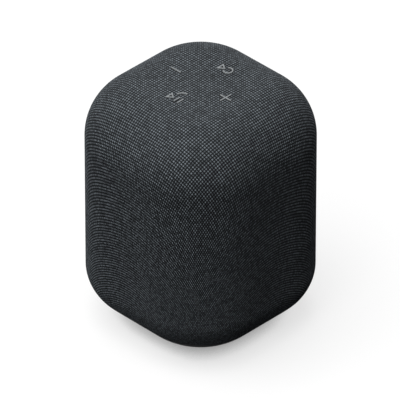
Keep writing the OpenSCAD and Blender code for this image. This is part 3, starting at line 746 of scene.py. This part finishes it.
def ferrite():
    """Sintered magnet: dark, grainy, with small chips."""
    s = Shader("ferrite", Specular_IOR_Level=0.6)
    grains = s.cells(1800)
    chips = s.between(s.noise(260, 5, 0.7), 0.60, 0.68)
    base = s.mix(grains, (0.018, 0.018, 0.020), (0.045, 0.045, 0.048))
    s.colour(s.mix(chips, base, (0.10, 0.10, 0.105)))
    s.rough(s.between(chips, 0, 1, 0.5, 0.75))
    s.bump(s.math("SUBTRACT", grains, chips), 0.08 * MM)
    return s.material


def pulp_cone():
    """Pressed paper: tangled fibres and a faint mottle."""
    s = Shader("pulp_cone", Specular_IOR_Level=0.3)
    fibres = s.math("MAXIMUM", s.noise(700, 6, 0.7, (5, 1, 1)), s.noise(700, 6, 0.7, (1, 1, 5)))
    s.colour(s.mix(s.between(fibres, 0.45, 0.75), (0.010, 0.010, 0.011), (0.055, 0.053, 0.052)))
    s.rough(s.between(fibres, 0.4, 0.8, 0.72, 0.92))
    s.bump(fibres, 0.10 * MM)
    return s.material


def copper_wire():
    """Turns of enamelled wire side by side."""
    s = Shader("copper_wire", Metallic=1.0, Coat_Weight=0.4, Coat_Roughness=0.12)
    turns = s.bands(1100, "Y")
    s.colour(s.mix(turns, (0.20, 0.065, 0.02), (0.80, 0.38, 0.16)))
    s.rough(s.between(s.noise(400, 3), 0.3, 0.7, 0.22, 0.38))
    s.bump(turns, 0.12 * MM)
    return s.material


def spider_cloth():
    """Resin-stiffened open weave."""
    s = Shader("spider_cloth", Sheen_Weight=0.1)
    mesh = s.math("MULTIPLY", s.bands(560, "X"), s.bands(560, "Z"))
    s.colour(s.mix(s.between(mesh, 0.1, 0.7), (0.16, 0.09, 0.025), (0.62, 0.43, 0.17)))
    s.rough(s.between(s.noise(300, 3), 0.3, 0.7, 0.6, 0.8))
    s.bump(mesh, 0.12 * MM)
    return s.material


def lead_insulation():
    """Soft insulation with a drawn surface and faint dust."""
    s = Shader("lead_insulation", Coat_Weight=0.15, Coat_Roughness=0.3)
    drawn = s.noise(800, 4, 0.6, (4, 1, 4))
    s.colour(s.mix(s.between(drawn, 0.3, 0.7), (0.30, 0.020, 0.016), (0.42, 0.040, 0.030)))
    s.rough(s.between(drawn, 0.3, 0.7, 0.42, 0.56))
    s.bump(drawn, 0.03 * MM)
    return s.material


def cell_wrap():
    """Shrunk wrapper with fine tension lines along the cell."""
    s = Shader("cell_wrap", Coat_Weight=0.45, Coat_Roughness=0.18)
    tension = s.noise(420, 4, 0.6, (1, 1, 0.12))
    s.colour(s.mix(s.between(tension, 0.3, 0.7), (0.015, 0.085, 0.25), (0.03, 0.14, 0.36)))
    s.rough(s.between(tension, 0.3, 0.7, 0.32, 0.48))
    s.bump(tension, 0.06 * MM)
    return s.material


def clear_resin():
    """Frosted light guide."""
    s = Shader("clear_resin", Transmission_Weight=0.6, IOR=1.49)
    frost = s.noise(900, 4, 0.6)
    s.colour(s.mix(s.between(frost, 0.3, 0.7), (0.72, 0.75, 0.76), (0.90, 0.92, 0.92)))
    s.rough(s.between(frost, 0.3, 0.7, 0.25, 0.42))
    s.bump(frost, 0.02 * MM)
    return s.material


def key_elastomer():
    """Elastomer of the keys: grey for the marks that stand out of the cloth, and painted dark below the cloth
    as shade in the gaps round the marks.
    """
    s = Shader("key_elastomer", Specular_IOR_Level=0.3, Sheen_Weight=0.05, Sheen_Roughness=0.4)
    soft = s.noise(140, 4, 0.6)
    pores = s.cells(2400)
    height = s.node("ShaderNodeSeparateXYZ")
    s.feed(height.inputs[0], s.place)
    # Painted shade: below the cloth's top the elastomer is coloured dark, so the gaps round the marks read as
    # shadow
    raised = s.between(height.outputs[2], TOP - 0.25 * MM, TOP + 0.15 * MM)
    painted_gap_shade = s.mix(soft, (0.004, 0.004, 0.005), (0.009, 0.009, 0.010))
    grey = s.mix(s.between(soft, 0.3, 0.7), (0.100, 0.108, 0.112), (0.122, 0.131, 0.135))
    s.colour(s.mix(raised, painted_gap_shade, grey))
    s.rough(s.between(soft, 0.3, 0.7, 0.46, 0.6))
    s.bump(pores, 0.02 * MM)
    return s.material


def all_materials():
    """One material for every slot of the record."""
    return {
        "woven_cloth": woven_cloth(),
        "hem_plastic": moulded("hem_plastic", (0.006, 0.006, 0.007), (0.012, 0.012, 0.013), 0.7, 1500,
                               0.03 * MM),
        "shell_plastic": moulded("shell_plastic", (0.020, 0.021, 0.022), (0.036, 0.037, 0.038), 0.6, 1300,
                                 0.04 * MM),
        "base_plastic": moulded("base_plastic", (0.034, 0.036, 0.040), (0.052, 0.055, 0.060), 0.5, 1700,
                                0.02 * MM, Specular_IOR_Level=0.35),
        "foot_rubber": rubber("foot_rubber", (0.010, 0.010, 0.010), (0.026, 0.026, 0.026), 0.8, 900,
                              0.10 * MM),
        "screw_steel": metal("screw_steel", (0.42, 0.42, 0.43), (0.62, 0.62, 0.63), 0.3, (1, 1, 9), 400,
                             0.01 * MM),
        "black_screw": metal("black_screw", (0.03, 0.03, 0.032), (0.08, 0.08, 0.085), 0.42, (1, 4, 1), 500,
                             0.01 * MM),
        "key_elastomer": key_elastomer(),
        "stem_plastic": moulded("stem_plastic", (0.62, 0.61, 0.57), (0.76, 0.75, 0.71), 0.45, 1100,
                                0.02 * MM, Subsurface_Weight=0.05),
        "switch_plastic": moulded("switch_plastic", (0.012, 0.012, 0.013), (0.028, 0.028, 0.030), 0.5, 1800,
                                  0.03 * MM),
        "circuit_board": circuit_board(),
        "ribbon_film": ribbon_film(),
        "cabinet_plastic": moulded("cabinet_plastic", (0.016, 0.016, 0.017), (0.030, 0.030, 0.032), 0.55,
                                   1000, 0.05 * MM),
        "foam_rubber": foam_rubber(),
        "felt_wadding": felt_wadding(),
        "basket_steel": metal("basket_steel", (0.05, 0.05, 0.052), (0.10, 0.10, 0.105), 0.45, (1, 6, 1),
                              260, 0.03 * MM, Coat_Weight=0.2, Coat_Roughness=0.3),
        "plated_steel": metal("plated_steel", (0.50, 0.50, 0.48), (0.68, 0.67, 0.62), 0.28, (1, 7, 1), 300,
                              0.02 * MM),
        "ferrite": ferrite(),
        "pulp_cone": pulp_cone(),
        "copper_wire": copper_wire(),
        "surround_rubber": rubber("surround_rubber", (0.008, 0.008, 0.008), (0.022, 0.022, 0.023), 0.55, 2200,
                                  0.02 * MM),
        "spider_cloth": spider_cloth(),
        "lead_insulation": lead_insulation(),
        "radiator_plate": metal("radiator_plate", (0.06, 0.06, 0.065), (0.12, 0.12, 0.125), 0.4, (1, 1, 7),
                                320, 0.02 * MM),
        "cell_wrap": cell_wrap(),
        "nickel_strip": metal("nickel_strip", (0.52, 0.50, 0.46), (0.70, 0.68, 0.63), 0.26, (0.2, 3, 3), 500,
                              0.02 * MM),
        "chip_resin": moulded("chip_resin", (0.010, 0.010, 0.011), (0.024, 0.024, 0.026), 0.62, 3000,
                              0.02 * MM),
        "capacitor_can": metal("capacitor_can", (0.60, 0.61, 0.62), (0.78, 0.79, 0.80), 0.24, (5, 5, 0.5),
                               500, 0.01 * MM),
        "tin_can": metal("tin_can", (0.55, 0.56, 0.56), (0.72, 0.73, 0.73), 0.34, (1, 4, 1), 240,
                         0.02 * MM),
        "bezel_plastic": moulded("bezel_plastic", (0.014, 0.014, 0.015), (0.026, 0.026, 0.027), 0.4, 1900,
                                 0.02 * MM),
        "clear_resin": clear_resin(),
    }


# ---- CAD nodes: finish and softened edges ----

def soften(obj, width):
    """Welds a node's faces together and rounds its sharp edges."""
    weld = obj.modifiers.new("weld", "WELD")
    weld.merge_threshold = 1e-6
    bevel = obj.modifiers.new("edge_round", "BEVEL")
    bevel.width = width
    bevel.segments = 2
    bevel.limit_method = "ANGLE"
    bevel.angle_limit = math.radians(35)
    bevel.use_clamp_overlap = True
    bevel.harden_normals = True
    facing = obj.modifiers.new("face_shading", "WEIGHTED_NORMAL")
    facing.keep_sharp = True


def dress_frame(materials):
    """Gives every CAD node its slot's material, and softens the edges that are seen or handled."""
    round_mm = {"key_minus": 0.14, "key_plus": 0.14, "key_play": 0.14, "key_pair": 0.14, "base_cap": 0.25,
                "foot_pad": 0.2, "port_bezel": 0.25, "usb_shell": 0.08, "hem_ring": 0.15}
    for part in frame["record"]["subparts"]:
        obj = frame["nodes"][part["node"]]
        obj.data.materials.clear()
        obj.data.materials.append(materials[part["material_slot"]])
        if part["node"] in round_mm:
            obj.data.polygons.foreach_set("use_smooth", [True] * len(obj.data.polygons))
            soften(obj, round_mm[part["node"]] * MM)


# ---- Cover piece ----

def dress_cover(materials):
    """The woven cover in place of the plain CAD one."""
    mesh = cover_mesh()
    cover = bpy.data.objects.new("cloth_cover", mesh)
    bpy.context.scene.collection.objects.link(cover)
    mesh.materials.append(materials["woven_cloth"])
    angle = np.linspace(0, 2 * math.pi, 721)[:-1]
    reached = hem_reach(angle) * RELAXED_PITCH
    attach(cover, "root")
    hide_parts("fabric_cover")


# ---- Stage, lights and camera ----

def make_floor():
    """A pale floor with an even emission, dimmed close under the body by ambient occlusion as a painted
    contact shadow, so the shadow stays soft.
    """
    mesh = bpy.data.meshes.new("floor")
    mesh.from_pydata([(-6, -6, 0), (6, -6, 0), (6, 6, 0), (-6, 6, 0)], [], [(0, 1, 2, 3)])
    floor = bpy.data.objects.new("floor", mesh)
    bpy.context.scene.collection.objects.link(floor)
    s = Shader("studio_floor", Specular_IOR_Level=0.0, Emission_Strength=0.7)
    s.colour(s.mix(s.noise(3, 2), (0.185, 0.185, 0.185), (0.19, 0.19, 0.19)))
    s.rough(0.95)
    # Painted contact shadow: ambient occlusion dims the floor's emission close under the body
    painted_contact_shadow = s.node("ShaderNodeAmbientOcclusion", samples=16)
    painted_contact_shadow.inputs["Distance"].default_value = 0.016
    s.feed(s.surface.inputs["Emission Color"], s.between(painted_contact_shadow.outputs["AO"], 0, 0.38, 0.1, 1))
    mesh.materials.append(s.material)
    floor.visible_diffuse = False
    floor.visible_glossy = False


def softbox(name, place, aim, side, power):
    """A square white light that faces a point."""
    light = bpy.data.lights.new(name, "AREA")
    light.size = side
    light.energy = power
    obj = bpy.data.objects.new(name, light)
    obj.location = place
    obj.rotation_euler = (Vector(aim) - Vector(place)).to_track_quat("-Z", "Y").to_euler()
    bpy.context.scene.collection.objects.link(obj)


def light_scene():
    """Soft overhead light towards the front, with weak ones in front and behind."""
    world = bpy.data.worlds.new("studio")
    world.use_nodes = True
    world.node_tree.nodes["Background"].inputs["Color"].default_value = (1, 1, 1, 1)
    world.node_tree.nodes["Background"].inputs["Strength"].default_value = 0.06
    bpy.context.scene.world = world
    middle = (0, 0, 0.07)
    softbox("overhead", (-0.10, -0.36, 1.38), middle, 1.8, 56)
    softbox("front", (0.5, -1.35, 0.6), middle, 0.8, 6.3)
    softbox("rear_fill", (-0.9, 1.1, 0.45), middle, 0.9, 7)


def aim_camera():
    """A long lens on the corner between the front and the right side, from above."""
    azimuth, elevation, distance = math.radians(45), math.radians(35.1), 42.5 * 2 * HALF
    back = Vector((math.sin(azimuth) * math.cos(elevation), -math.cos(azimuth) * math.cos(elevation),
                   math.sin(elevation)))
    data = bpy.data.cameras.new("camera")
    data.sensor_width = 36
    data.lens = 790.6
    data.shift_x, data.shift_y = -0.0016, 0.0012
    data.clip_start, data.clip_end = 0.1, 50
    camera = bpy.data.objects.new("camera", data)
    camera.location = Vector((0, 0, 63.2 * MM)) + back * distance
    camera.rotation_mode = "QUATERNION"
    camera.rotation_quaternion = (-back).to_track_quat("-Z", "Y")
    bpy.context.scene.collection.objects.link(camera)
    bpy.context.scene.camera = camera


materials = all_materials()
dress_frame(materials)
dress_cover(materials)
make_floor()
light_scene()
aim_camera()
bpy.context.scene.view_settings.view_transform = "Standard"
